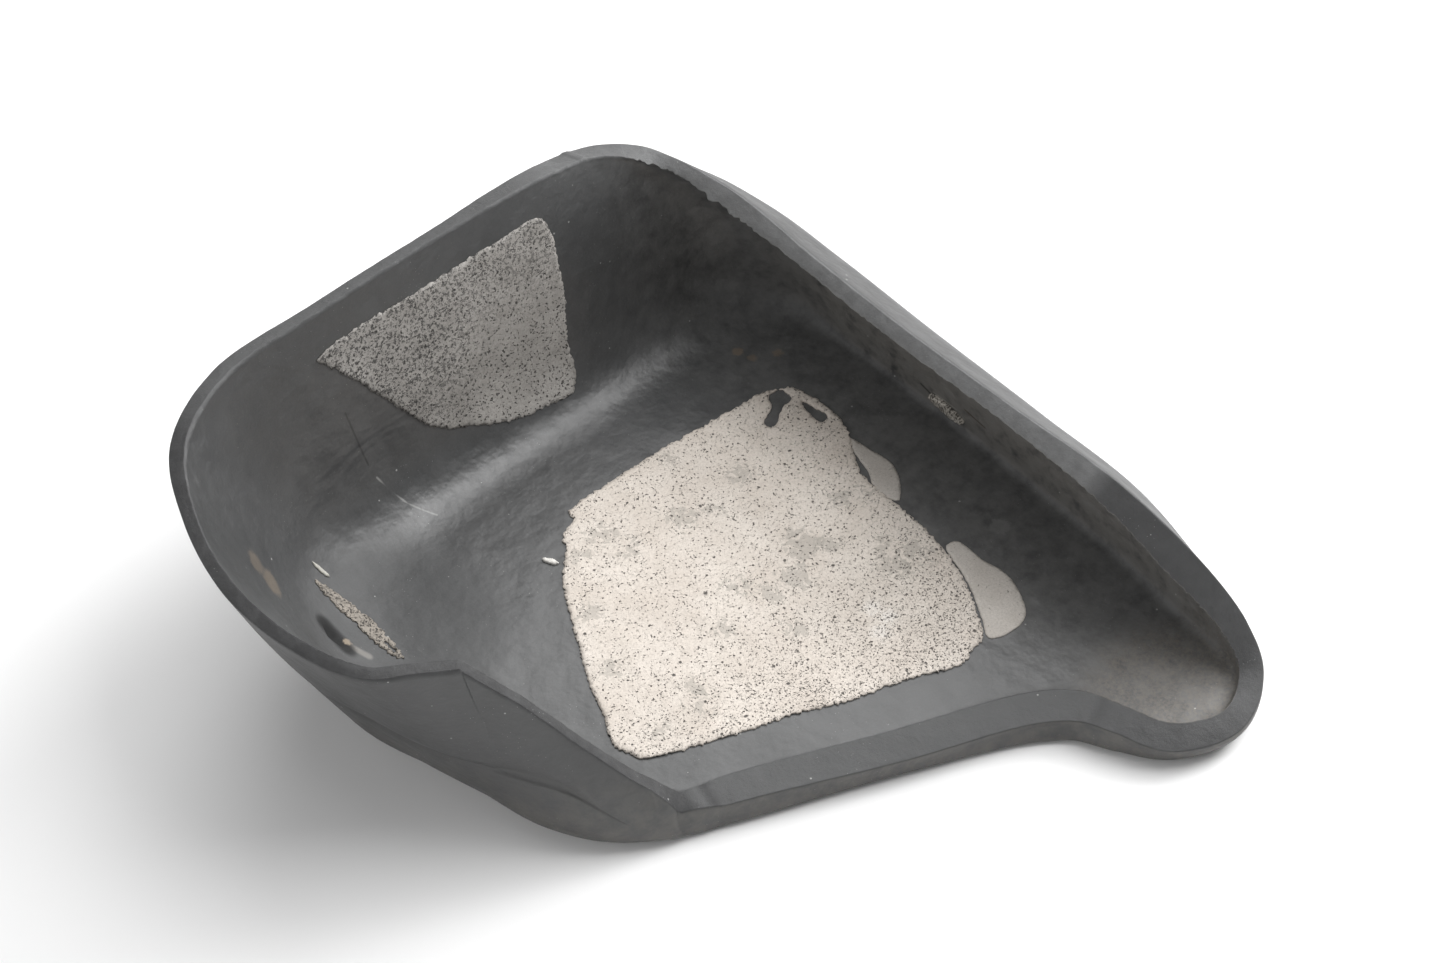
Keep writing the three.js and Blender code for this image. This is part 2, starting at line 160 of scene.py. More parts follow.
# The knife turned sharply at two places: at the top of the left wall's slope and where that slope
# meets the front edge. There the rim runs straight from section to section.
rim_stops = np.array([s[3] for s in SECTIONS], float)
before = np.floor(station).astype(int)
run_to = rim_stops[(before + 1) % 30] - rim_stops[before]
straight = rim_stops[before] + run_to * (station - before)[:, None]
corners = np.maximum(stretch(8.2, 9.8, 0.5), stretch(11.3, 12.8, 0.5)) * 0.85
rim = rim + (straight - rim) * corners
around_foot = np.roll(foot, -1, 0) - np.roll(foot, 1, 0)
around_rim = np.roll(rim, -1, 0) - np.roll(rim, 1, 0)
wall_out = -unit(np.cross(shoulder - foot, around_foot))
lip_out = -unit(np.cross(rim - shoulder, around_rim))
outward = unit(wall_out * [1, 1, 0])
down = np.array([0, 0, -FLOOR_THICKNESS])
reach = (wall + FLOOR_THICKNESS * wall_out[:, 2:]) / (outward * wall_out).sum(1, keepdims=True) + belly
spread = wall / (1 + (wall_out * lip_out).sum(1, keepdims=True))
outer_foot = foot + outward * reach + down
outer_shoulder = shoulder + (wall_out + lip_out) * spread
outer_rim = rim + lip_out * lip

# Rings in the floor, its edge, the cove, the wall, the roll-over and the run up to the rim.
INNER_ROWS = (40, 6, 16, 26, 12, 8)
OUTER_ROWS = (2, 2, 12, 20, 12, 6)
inner = rounded_chain(FLOOR_CENTRE, floor_edge, foot, shoulder, rim, cove, roll, INNER_ROWS)
outer = rounded_chain(FLOOR_CENTRE + down, floor_edge + down, outer_foot, outer_shoulder, outer_rim,
                      heel, roll + wall * 0.4, OUTER_ROWS)


# The knife left a ragged burr along the lip's inner edge, worst in the back right corner and round
# the spout, and a few small steps where it was started again.
arc = np.cumsum(np.linalg.norm(rim - np.roll(rim, 1, 0), axis=1))
burr = (np.abs(waver(arc, 0.55, 1.0)) + 0.6 * np.abs(waver(arc, 1.7, 2.0)))[:, None]
burr_size = 0.12 + 0.95 * stretch(26.3, 28.6) + 0.35 * stretch(20, 23) + 0.3 * stretch(23, 26)
steps = 0.5 * stretch(9.72, 9.95, 0.06) - 0.4 * stretch(10.35, 10.6, 0.06) + 0.45 * stretch(29.35, 29.5, 0.06)
lip_up = unit(rim - shoulder)
waves = (0.10 * waver(arc, 0.05, 3.0) + 0.06 * waver(arc, 0.4, 4.0))[:, None]
edge_in = rim - lip_out * burr * burr_size + lip_up * (waves + steps * 0.6)
edge_out = outer_rim + lip_up * (waves + steps * 0.6) - lip_out * 0.15
inner[-1] = edge_in
outer[-1] = edge_out
LIP_STEPS = (0.04, 0.12, 0.3, 0.5, 0.7, 0.88, 0.96)
scoring = [(0.1 * waver(arc, 0.35, 5.0 + t * 7))[:, None] * lip_up for t in LIP_STEPS]
crown = [lip_up * 0.12 * (1 - (2 * t - 1)**2) for t in LIP_STEPS]
cut = [edge_in + (edge_out - edge_in) * t + s + c for t, s, c in zip(LIP_STEPS, scoring, crown)]
rings = inner[1:] + cut + outer[:0:-1]
points = np.array(rings)

# The sections are written round a middle of their own. SHIFT carries them into the shared frame.
low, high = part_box("tray_shell")
cad_middle = (np.array(low) + np.array(high)) / 2 * 1000
plain = np.array(inner[1:-1] + outer[1:-1] + [rim, outer_rim]).reshape(-1, 3)
SHIFT = cad_middle - (plain.min(0) + plain.max(0)) / 2

# Moulding faults: flow ripples across the left wall, a creased waist outside it, and a deep
# oval dent near its foot.
inner_count = len(inner) - 1
row = np.arange(len(points))
outside_row = row - inner_count - len(cut)
facing = np.zeros_like(points)
facing[:, :] = wall_out
ripple = np.zeros(points.shape[:2])
RIPPLES = ((3.6, 5.4, 66, 98, 5.5, 0.07), (1.5, 3.4, 46, 74, 6.0, 0.06))
for start, end, first, last, pitch, size in RIPPLES:
    band = stretch(start, end, 0.8)[:, 0] * ((row >= first) & (row <= last))[:, None]
    drift = np.array([waver(station, 1.6, r * 0.13) for r in row]) * 2.2
    ripple += size * band * np.sin((row[:, None] + drift * pitch) * 2 * math.pi / pitch)
ripple = (ripple + np.roll(ripple, 1, 0) + np.roll(ripple, -1, 0)) / 3
points += facing * ripple[..., None]
WAIST_ROW, WAIST_DEPTH = 20, 0.7
waist_row = outside_row[:, None] - WAIST_ROW + 3 * np.cos(station * 1.3)
waist = np.exp(-(waist_row / 1.7)**2) * stretch(6.6, 10.2, 1.6)[:, 0]
waist[:inner_count + len(cut)] = 0
points -= facing * WAIST_DEPTH * waist[..., None]


def hollow(centre, along, length, width, depth):
    """Pushes an oval dent into the inner skin along the wall's own normal."""
    global points
    away = points[:inner_count] - np.array(centre)
    along = np.array(along) / np.linalg.norm(along)
    lengthwise = away @ along
    sideways = np.linalg.norm(away - lengthwise[..., None] * along, axis=2)
    near = np.exp(-((lengthwise / length)**2 + (sideways / width)**2)**2)
    points[:inner_count] += facing[:inner_count] * (depth * near)[..., None]


DENT = (-84.8, 14.6, 6.8)
DENT_LINE = (0.8, -5.6, -2.8)
hollow(DENT, DENT_LINE, 2.6, 1.4, 1.7)
points = (points + SHIFT) / 1000


def closed_mesh(name, grid, start, end):
    """A closed skin from rings of points, with a point at each end."""
    count, columns = grid.shape[:2]
    vertices = [tuple(p) for p in grid.reshape(-1, 3)] + [tuple(start), tuple(end)]
    first, last = count * columns, count * columns + 1
    faces = []
    for j in range(columns):
        k = (j + 1) % columns
        faces.append((first, j, k))
        faces.append((last, (count - 1) * columns + k, (count - 1) * columns + j))
        for i in range(count - 1):
            faces.append((i * columns + j, (i + 1) * columns + j, (i + 1) * columns + k, i * columns + k))
    mesh = bpy.data.meshes.new(name)
    mesh.from_pydata(vertices, [], faces)
    mesh.polygons.foreach_set("use_smooth", [True] * len(faces))
    mesh.update()
    piece = bpy.data.objects.new(name, mesh)
    bpy.context.scene.collection.objects.link(piece)
    return piece


top_centre = (FLOOR_CENTRE + SHIFT) / 1000
low_centre = (FLOOR_CENTRE + down + SHIFT) / 1000
shell = closed_mesh("tray_shell_cut", points, top_centre, low_centre)


def paint_rows(piece, name, values):
    """Stores one number for each point of the skin, as rings of columns."""
    data = piece.data.attributes.new(name, "FLOAT", "POINT").data
    data.foreach_set("value", list(values.astype(np.float32).ravel()) + [0.0, 0.0])


# Numbers stored on the skin for the plastic's finish. The cut lip carries painted light and shade: palest
# along the lit right wall, darker at the back, in front and round the spout, and darkest at the left.
lip_rows = ((row >= inner_count - 1) & (row <= inner_count + len(cut))).astype(float)
inside_rows = (row < inner_count).astype(float)
paint_rows(shell, "cut_lip", np.repeat(lip_rows[:, None], COLUMNS, 1))
paint_rows(shell, "inside", np.repeat(inside_rows[:, None], COLUMNS, 1))
spout_ring = stretch(16.4, 23.1, 0.2)[:, 0]
left_side = stretch(3.6, 12.4, 0.8)[:, 0]
# Painted light and shade on the cut lip: lighter or darker station by station.
cut_lip_painted_light_and_shade = 1 - 0.86 * spout_ring - left_side - 0.7 * stretch(0.0, 3.6, 0.8)[:, 0]
cut_lip_painted_light_and_shade -= 0.65 * stretch(12.4, 16.4, 0.2)[:, 0] + 0.5 * stretch(28.4, 30.0, 0.6)[:, 0]
paint_rows(shell, "cut_lip_painted_light_and_shade", lip_rows[:, None] * cut_lip_painted_light_and_shade)
# The right wall's band above the foot: brown dust, partly painted light where the wall faces the light.
right_wall = stretch(21.4, 26.9, 1.2)[:, 0]
COVE_ROW, DUST_ROW = 50, 54
wall_rows = np.clip((row - DUST_ROW) / 4, 0, 1) * inside_rows
paint_rows(shell, "dusty_wall_and_painted_light", wall_rows[:, None] * right_wall)
foot_rows = np.exp(-((row - COVE_ROW) / 11)**2) * inside_rows
paint_rows(shell, "dull_foot", foot_rows[:, None] * stretch(20.6, 27.4, 1.2)[:, 0])


class Wire:
    """A value in a finish, so that its maths can be written as an expression."""

    def __init__(self, finish, socket):
        self.finish, self.socket = finish, socket

    def join(self, operation, first, second):
        return self.finish.node("ShaderNodeMath", {"operation": operation}, {0: first, 1: second})

    def __add__(self, other):
        return self.join("ADD", self, other)

    __radd__ = __add__

    def __mul__(self, other):
        return self.join("MULTIPLY", self, other)

    __rmul__ = __mul__

    def __sub__(self, other):
        return self.join("SUBTRACT", self, other)

    def __rsub__(self, other):
        return self.join("SUBTRACT", other, self)

    def __gt__(self, other):
        return self.join("GREATER_THAN", self, other)

    def __lt__(self, other):
        return self.join("LESS_THAN", self, other)

    def most(self, other):
        return self.join("MAXIMUM", self, other)

    def least(self, other):
        return self.join("MINIMUM", self, other)


class Finish:
    """One procedural material, built around a single surface shader, in millimetres."""

    def __init__(self, name, **constants):
        self.material = bpy.data.materials.new(name)
        self.material.use_nodes = True
        self.tree = self.material.node_tree
        self.surface = self.tree.nodes["Principled BSDF"]
        for socket, value in constants.items():
            self.surface.inputs[socket.replace("_", " ")].default_value = value
        where = self.tree.nodes.new("ShaderNodeTexCoord")
        self.place = self.vector("MULTIPLY", Wire(self, where.outputs["Object"]), (1000, 1000, 1000))

    def node(self, kind, settings=None, sockets=None, out=0):
        made = self.tree.nodes.new(kind)
        for key, value in (settings or {}).items():
            setattr(made, key, value)
        for key, value in (sockets or {}).items():
            if isinstance(value, Wire):
                self.tree.links.new(value.socket, made.inputs[key])
            else:
                made.inputs[key].default_value = value
        return Wire(self, made.outputs[out])

    def vector(self, operation, first, second, out=0):
        return self.node("ShaderNodeVectorMath", {"operation": operation}, {0: first, 1: second}, out)

    def noise(self, scale, detail=3.0, roughness=0.55, distortion=0.0, place=None):
        return self.node("ShaderNodeTexNoise", {}, {
            "Vector": place or self.place, "Scale": scale, "Detail": detail,
            "Roughness": roughness, "Distortion": distortion})

    def squeezed(self, x, y, z):
        return self.vector("MULTIPLY", self.place, (x, y, z))

    def cells(self, scale, out="Distance", place=None):
        return self.node("ShaderNodeTexVoronoi", {}, {"Vector": place or self.place, "Scale": scale}, out)

    def ramp(self, value, start, end):
        """0 where the value is at start or short of it, 1 at end, smooth between."""
        return self.node("ShaderNodeMapRange", {"interpolation_type": "SMOOTHSTEP"},
                         {"Value": value, "From Min": start, "From Max": end})

    def painted(self, name):
        return self.node("ShaderNodeAttribute", {"attribute_name": name}, {}, "Fac")

    def mix(self, factor, first, second):
        return self.node("ShaderNodeMix", {"data_type": "RGBA"}, {0: factor, 6: first, 7: second}, 2)

    def spot(self, centre, radius, wobble=None, core=0.55):
        """1 at a place on the tray, falling to 0 at the radius."""
        away = self.vector("DISTANCE", self.place, tuple(float(v) for v in np.array(centre) + SHIFT), 1)
        if wobble:
            away = away + wobble
        return self.ramp(away, radius, radius * core)

    def stroke(self, start, end, width):
        """1 along a straight scratch between two places, 0 beyond its width."""
        a, b = (np.array(p) + SHIFT for p in (start, end))
        length = float(np.linalg.norm(b - a))
        along = tuple(float(v) for v in (b - a) / length)
        arm = self.vector("SUBTRACT", self.place, tuple(float(v) for v in a))
        run = self.vector("DOT_PRODUCT", arm, along, 1)
        inside = run.most(0.0).least(length)
        foot_point = self.node("ShaderNodeVectorMath", {"operation": "SCALE"}, {0: along, "Scale": inside})
        return self.ramp(self.vector("DISTANCE", arm, foot_point, 1), width, width * 0.3)

    def bump(self, height, depth_mm, normal=None):
        sockets = {"Height": height, "Distance": depth_mm / 1000}
        if normal:
            sockets["Normal"] = normal
        return self.node("ShaderNodeBump", {}, sockets)

    def feed(self, **wires):
        for socket, wire in wires.items():
            self.tree.links.new(wire.socket, self.surface.inputs[socket.replace("_", " ")])
        return self.material


PLASTIC_DARK = (0.040, 0.041, 0.042, 1)
PLASTIC_LIGHT = (0.062, 0.063, 0.064, 1)
# The cut lip's two tones are painted light and painted shade.
CUT_PAINTED_LIGHT = (0.155, 0.157, 0.158, 1)
CUT_PAINTED_SHADE = (0.022, 0.022, 0.023, 1)
# The brown dust tone is also painted light on the right wall's band.
BROWN_DUST_AND_LIGHT = (0.200, 0.182, 0.158, 1)
WARM_DUST = (0.20, 0.172, 0.138, 1)
WHITE_SPECK = (0.62, 0.62, 0.60, 1)

plastic = Finish("dark_moulded_plastic", IOR=1.5, Specular_IOR_Level=0.8)
cloud = plastic.noise(0.03, 4, 0.6)
smear = plastic.noise(0.12, 5, 0.62, 1.2, plastic.squeezed(1.0, 0.45, 0.7))
base = plastic.mix(plastic.ramp(cloud * 0.6 + smear * 0.4, 0.36, 0.66), PLASTIC_DARK, PLASTIC_LIGHT)

# Fine scuffs, drawn out one way, and a fine grain.
scuff_noise = plastic.noise(0.5, 6, 0.7, 0.6, plastic.squeezed(1.0, 0.12, 1.0))
scuff = plastic.ramp(scuff_noise, 0.62, 0.80)
grain = plastic.noise(3.0, 3, 0.7)
base = plastic.mix(scuff * 0.30, base, (0.14, 0.14, 0.138, 1))
base = plastic.mix(plastic.ramp(grain, 0.35, 0.75) * 0.22, base, (0.10, 0.10, 0.098, 1))

# The cut lip's painted light and shade, and the duller, darker skin outside.
lip_mask = plastic.painted("cut_lip")
inside_mask = plastic.painted("inside")
# Painted light and shade on the cut lip: lighter on the right, darker on the left and round the spout.
lip_painted_light_and_shade = plastic.mix(plastic.painted("cut_lip_painted_light_and_shade"), CUT_PAINTED_SHADE, CUT_PAINTED_LIGHT)
lip_painted_light_and_shade = plastic.mix(plastic.ramp(plastic.noise(0.35, 4, 0.6), 0.35, 0.7) * 0.35, lip_painted_light_and_shade, PLASTIC_LIGHT)
base = plastic.mix(lip_mask, base, lip_painted_light_and_shade)
base = plastic.mix((1 - inside_mask) * (1 - lip_mask) * 0.6, base, (0.018, 0.018, 0.018, 1))

# Dust: brown on the right wall, made lighter there as painted light, and warm in the spout's tip.
# Painted light: a grey lift on the right of the floor and a warm tint low down outside.
height = plastic.node("ShaderNodeSeparateXYZ", {}, {0: plastic.place}, 2)
right_run = plastic.node("ShaderNodeSeparateXYZ", {}, {0: plastic.place}, 0)
dust_noise = plastic.noise(0.25, 6, 0.7)
fine_dust = plastic.noise(1.6, 4, 0.75)
wall_dust_and_painted_light = plastic.painted("dusty_wall_and_painted_light") * plastic.ramp(dust_noise, 0.3, 0.62)
# Brown dust on the right wall, lightened as painted light.
base = plastic.mix(wall_dust_and_painted_light * 0.95, base, BROWN_DUST_AND_LIGHT)
# Painted light: the right of the floor lifted to a lighter grey out of the right wall's shade.
right_floor_painted_light = inside_mask * plastic.ramp(right_run, 30.0, 62.0)
base = plastic.mix(right_floor_painted_light * plastic.ramp(dust_noise, 0.2, 0.7) * 0.85, base, (0.14, 0.14, 0.138, 1))
tip = plastic.spot((26, -98, 0), 22, (dust_noise - 0.5) * 14) * inside_mask
base = plastic.mix(tip * plastic.ramp(fine_dust, 0.3, 0.7) * 0.5, base, WARM_DUST)
# Painted reflected light: a warm, lighter tint low down outside, as from warm light below.
low_outside_painted_light = (1 - inside_mask) * (1 - lip_mask) * plastic.ramp(height, 26.0, 2.0)
base = plastic.mix(low_outside_painted_light * plastic.ramp(dust_noise, 0.3, 0.7) * 0.5, base, (0.115, 0.105, 0.088, 1))

# Scattered white specks and crumbs of dust.
speck_cell = plastic.cells(0.42)
speck_pick = plastic.cells(0.42, "Color")
speck = (speck_cell < 0.09) * (speck_pick > 0.80)
fine_speck = (plastic.cells(1.15) < 0.07) * (plastic.noise(0.09, 2) > 0.56)
base = plastic.mix(speck.most(fine_speck) * 0.40, base, WHITE_SPECK)

# Marks: brown drips on the floor, a stain and the dented place on the left wall, whose hollow is painted
# near-black as painted shade, pale and dark hairlines in the back corner, cracks beside the crust on the
# right wall.
ragged = (plastic.noise(0.9, 4, 0.7) - 0.5) * 2.2
for centre, radius, strength in (
        ((27.1, 25.3, 0), 1.5, 0.5), ((28.1, 22, 0), 1.3, 0.4), ((33.1, 19.5, 0), 1.4, 0.45),
        ((-93.1, 20.2, 23.4), 3.6, 0.32), ((-94.6, 23.0, 27.6), 3.0, 0.25)):
    base = plastic.mix(plastic.spot(centre, radius, ragged) * strength, base, (0.26, 0.20, 0.14, 1))
rubbed = plastic.stroke((-83.4, 12.6, 4.4), (-81.4, 9.4, 2.6), 1.3)
base = plastic.mix(rubbed * 0.4, base, (0.33, 0.31, 0.28, 1))
base = plastic.mix(plastic.spot((32.5, -45.7, 0), 2.6, ragged * 1.5) * 0.3, base, (0.24, 0.24, 0.235, 1))
for start, end, width, strength, tone in (
        ((-56.4, 38.2, 11.2), (-52.6, 34.4, 4.0), 0.32, 0.6, (0.30, 0.30, 0.29, 1)),
        ((-52.6, 34.4, 4.0), (-48.7, 30.2, 1.2), 0.30, 0.5, (0.30, 0.30, 0.29, 1)),
        ((-59.4, 41.8, 28.5), (-57.4, 39.2, 14.7), 0.30, 0.7, (0.016, 0.016, 0.017, 1)),
        ((45.2, -10.3, 4.9), (45.4, -14.2, 3.7), 0.45, 0.9, (0.014, 0.013, 0.012, 1)),
        ((44.7, -23.2, 7.5), (44.8, -28.8, 6.6), 0.35, 0.8, (0.05, 0.03, 0.02, 1)),
        ((45.2, -14.0, 5.4), (45.1, -20.5, 5.3), 0.28, 0.7, (0.30, 0.29, 0.27, 1))):
    base = plastic.mix(plastic.stroke(start, end, width) * strength, base, tone)
dent_start, dent_end = (np.array(DENT) + np.array(DENT_LINE) * t for t in (-0.45, 0.45))
# Painted shade: the dent's hollow painted near-black.
pit = plastic.stroke(dent_start, dent_end, 3.4)
base = plastic.mix(pit * 0.95, base, (0.006, 0.006, 0.006, 1))
base = plastic.mix(plastic.spot((-82.9, 13.3, 4.9), 1.1, ragged * 0.9) * 0.6, base, (0.40, 0.33, 0.25, 1))

sheen = plastic.noise(0.2, 5, 0.65)
rough = 0.33 + sheen * 0.13 + lip_mask * 0.26 + wall_dust_and_painted_light * 0.2 + tip * 0.25 + scuff * 0.1
rough = rough + plastic.painted("dull_foot") * 0.4 + pit * 0.6 + (1 - inside_mask) * 0.1
rough = rough + plastic.spot((-70, 14, 3), 24) * inside_mask * 0.28
relief = plastic.bump(plastic.noise(0.16, 3, 0.5), 0.5)
relief = plastic.bump(plastic.noise(1.4, 4, 0.65), 0.035, relief)
relief = plastic.bump(scuff, 0.02, relief)
relief = plastic.bump(lip_mask * plastic.noise(0.9, 5, 0.75), 0.22, relief)
shell.data.materials.append(plastic.feed(Base_Color=base, Roughness=rough, Normal=relief))
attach(shell, "root")
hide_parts("tray_shell")

# ---------------------------------------------------------- large floor film
# Cream emulsion that dried as one sheet on the floor, about half a millimetre thick. It is full of
# pinholes, has shrunk away from the plastic at its edges and has torn open in the back corner.

FLOOR_FILM = [
    (25.7, 11.7), (28.6, 9.7), (29.2, 6.8), (29.8, 1.9), (29.4, -3.5), (28, -7.5), (25.8, -10.5),
    (23.8, -13.8), (21.7, -17.5), (21.4, -23.6), (21.3, -29.5), (21.4, -33.2), (20.9, -37.5),
    (19.5, -44), (18.5, -47.8), (16.8, -52), (13.3, -58.3), (9.6, -64), (8, -64.2), (5.5, -64.2),
    (2.5, -66), (-3.8, -63.3), (-10.6, -60.3), (-21.7, -57.3), (-26, -54.5), (-37.7, -50.5),
    (-47.7, -46.7), (-58, -42.5), (-59.2, -39.1), (-60, -35.2), (-56.9, -30.5), (-53.1, -20.9),
    (-47, -9.6), (-41.1, 1.1), (-35.9, 5.9), (-34, 8.9), (-31.4, 11.3), (-29.5, 11.1), (-28.4, 12.9),
    (-28.6, 14.6), (-19.1, 14.7), (-4.6, 14.9), (7.2, 13.9), (18.7, 13.2), (23, 12.9)]
FLOOR_GAPS = [
    [(24.5, 11.6), (26.6, 11.1), (26.2, 9.3), (26.5, 7.4), (23.1, 7.2), (21.4, 6.1), (19.1, 4.3), (16.9, 4.2),
     (16.8, 6.6), (19.1, 7.4), (20.7, 8.1), (21.8, 9.3), (22.7, 11.3)],
    [(26.9, 6.2), (27.7, 4), (27.5, 2.1), (28.4, 0.7), (28, -1.4), (25.6, -1.6), (25.4, 0.8), (25.7, 2.6)]]

skin = BVHTree.FromObject(shell, bpy.context.evaluated_depsgraph_get())


def crinkled(outline, size, seed, pitch=0.45):
    """The outline as short steps with its corners eased and a dried edge's small random bites."""
    line = [Vector(p) for p in outline]
    for _ in range(2):
        pairs = list(zip(line, line[1:] + line[:1]))
        line = [a.lerp(b, t) for a, b in pairs for t in (0.25, 0.75)]
    fine = []
    for a, b in zip(line, line[1:] + line[:1]):
        count = max(1, round((b - a).length / pitch))
        fine += [a.lerp(b, i / count) for i in range(count)]
    done = []
    for before, p, after in zip(fine[-1:] + fine[:-1], fine, fine[1:] + fine[:1]):
        side = (after - before).normalized()
        shake = sum(part * noise.noise((p.x * rate, p.y * rate, seed))
                    for rate, part in ((0.5, 0.6), (1.7, 0.8), (3.4, 0.7)))
        done.append(p + Vector((side.y, -side.x)) * shake * size)
    return done


def sheet(name, outline, gaps, onto, thickness, ragged=0.3, cell=0.8, seed=1.0, curl=0.0):
    """A dried film: a closed thin skin laid on the tray's inner surface."""
    loops = [crinkled(outline, ragged, seed)] + [crinkled(g, ragged * 0.5, seed) for g in gaps]
    flat, edges = [], []
    for loop in loops:
        first = len(flat)
        flat += loop
        edges += [(first + i, first + (i + 1) % len(loop)) for i in range(len(loop))]
    xs, ys = [p.x for p in loops[0]], [p.y for p in loops[0]]
    chance = random.Random(int(seed * 10))
    for i in range(int((max(xs) - min(xs)) / cell)):
        for j in range(int((max(ys) - min(ys)) / cell)):
            flat.append(Vector((min(xs) + (i + 0.25 + 0.5 * chance.random()) * cell,
                                min(ys) + (j + 0.25 + 0.5 * chance.random()) * cell)))
    places, _, faces, *_ = geometry.delaunay_2d_cdt(flat, edges, [], 0, 1e-4)

    def within(p, loop):
        odd = False
        for a, b in zip(loop, loop[1:] + loop[:1]):
            if (a.y > p.y) != (b.y > p.y) and p.x < a.x + (b.x - a.x) * (p.y - a.y) / (b.y - a.y):
                odd = not odd
        return odd

    kept = []
    for face in faces:
        middle = sum((places[i] for i in face), Vector((0, 0))) / len(face)
        if within(middle, loops[0]) and not any(within(middle, gap) for gap in loops[1:]):
            kept.append(face)
    used = sorted({i for face in kept for i in face})
    number = {old: new for new, old in enumerate(used)}
    kept = [[number[i] for i in face] for face in kept]
    uses = {}
    for face in kept:
        for a, b in zip(face, face[1:] + face[:1]):
            uses[(a, b)] = True
    border = [(a, b) for a, b in uses if (b, a) not in uses]
    rim_points = {a for a, b in border} | {b for a, b in border}
    lower, upper = [], []
    for new, old in enumerate(used):
        start, towards = onto(places[old])
        hit, normal, _, _ = skin.ray_cast(start, towards)
        if normal.dot(towards) > 0:
            normal = -normal
        lump = 0.5 + 0.5 * noise.noise((places[old].x * 0.35, places[old].y * 0.35, seed + 3))
        rise = thickness * (0.55 if new in rim_points else 0.75 + 0.5 * lump)
        lift = curl * max(0.0, noise.noise((places[old].x * 0.22, places[old].y * 0.22, seed + 9)))
        lift = lift if new in rim_points else 0.0
        lower.append(hit + normal * (0.03 + lift) / 1000)
        upper.append(hit + normal * (0.03 + lift + rise) / 1000)
    count = len(used)
    solid = [tuple(face) for face in kept]
    solid += [tuple(i + count for i in reversed(face)) for face in kept]
    solid += [(b, a, a + count, b + count) for a, b in border]
    mesh = bpy.data.meshes.new(name)
    mesh.from_pydata(upper + lower, [], solid)
    mesh.polygons.foreach_set("use_smooth", [i < len(kept) for i in range(len(solid))])
    mesh.update()
    work = bmesh.new()
    work.from_mesh(mesh)
    bmesh.ops.recalc_face_normals(work, faces=work.faces)
    work.to_mesh(mesh)
    work.free()
    piece = bpy.data.objects.new(name, mesh)
    bpy.context.scene.collection.objects.link(piece)
    return piece


def from_above(p):
    return Vector((p.x + SHIFT[0], p.y + SHIFT[1], 26)) / 1000, Vector((0, 0, -1))


def finish_film(name, light, dark, holes, stains=(), marks=(), crowding=(0.0, 1.0, 0.0)):
    """Dried emulsion: cream or grey, mottled, with pinholes down to the plastic."""
    film = Finish(name, IOR=1.45)
    tone = film.noise(0.11, 5, 0.62)
    coat = film.mix(film.ramp(tone, 0.3, 0.72), light, dark)
    fine = film.noise(2.2, 4, 0.85)
    coat = film.mix(film.ramp(fine, 0.40, 0.66) * 0.6, coat, tuple(c * 0.72 for c in dark[:3]) + (1,))
    if stains:
        feather = (film.noise(0.42, 3, 0.55, 1.6) - 0.5) * 15 + (film.noise(2.0, 3, 0.7) - 0.5) * 2.5
        for centre, radius, strength in stains:
            patch = film.spot(centre, radius * 0.52, feather, 0.82)
            coat = film.mix(patch * strength, coat, (0.40, 0.37, 0.33, 1))
    for centre, radius in marks:
        chalky = film.spot(centre, radius, (film.noise(1.1, 5, 0.85, 2.0) - 0.5) * 11, 0.8)
        coat = film.mix(chalky * 0.3, coat, (0.88, 0.86, 0.83, 1))
    nearness = film.node("ShaderNodeSeparateXYZ", {}, {0: film.place}, 1)
    crowd = 1 + film.ramp(nearness, crowding[0], crowding[1]) * crowding[2]
    pit = None
    for scale, size, part in holes:
        wander = film.vector("ADD", film.place, film.node("ShaderNodeTexNoise", {}, {
            "Vector": film.place, "Scale": scale * 1.3, "Detail": 2.0}, "Color"))
        cell = film.cells(scale, place=wander)
        lot = film.node("ShaderNodeSeparateColor", {}, {0: film.cells(scale, "Color", wander)})
        chosen = lot < crowd * part
        one = film.ramp(cell, size, size * 0.45) * chosen
        pit = one if pit is None else pit.most(one)
    coat = film.mix(pit * 0.9, coat, (0.045, 0.042, 0.038, 1))
    relief = film.bump(tone, 0.5)
    relief = film.bump(film.noise(1.3, 4, 0.7), 0.06, relief)
    relief = film.bump(1 - pit, 0.22, relief)
    return film, coat, 0.62 + fine * 0.2, relief


def hand_over(piece, finish, node):
    film, coat, rough, relief = finish
    piece.data.materials.append(film.feed(Base_Color=coat, Roughness=rough, Normal=relief))
    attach(piece, "root")
    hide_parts(node)


CREAM = (0.735, 0.675, 0.61, 1)
CREAM_DARK = (0.64, 0.575, 0.51, 1)
BLOTCHES = [
    ((3.6, -1.2), 4.2), ((-12.8, -2.5), 4.6), ((-6.6, -4.5), 3.4), ((-27.8, 4.6), 4.6), ((-34.5, 3.6), 3.0),
    ((-26, -2.4), 3.4), ((-4, 11.9), 2.6), ((-0.3, -23.3), 7.0), ((-7, -28.5), 6.6), ((-13.1, -28.5), 4.2),
    ((4, -26.5), 4.0), ((14.1, -19.5), 3.6), ((18.8, -21.5), 3.0), ((11.3, -34.2), 3.6), ((9.4, -39.2), 6.0),
    ((14.8, -39), 4.6), ((-18.2, -21.9), 2.4), ((-15.9, -23.9), 2.6), ((-42.5, -9.2), 4.2),
    ((-25.9, -28.6), 4.0), ((-15.9, -38.6), 3.8), ((-48.4, -22.3), 3.6), ((-39.4, -36.6), 3.6),
    ((-41, -40), 4.2), ((-51.9, -39.2), 3.2)]
film_top = [((x, y, 0.4), r, 0.62) for (x, y), r in BLOTCHES]
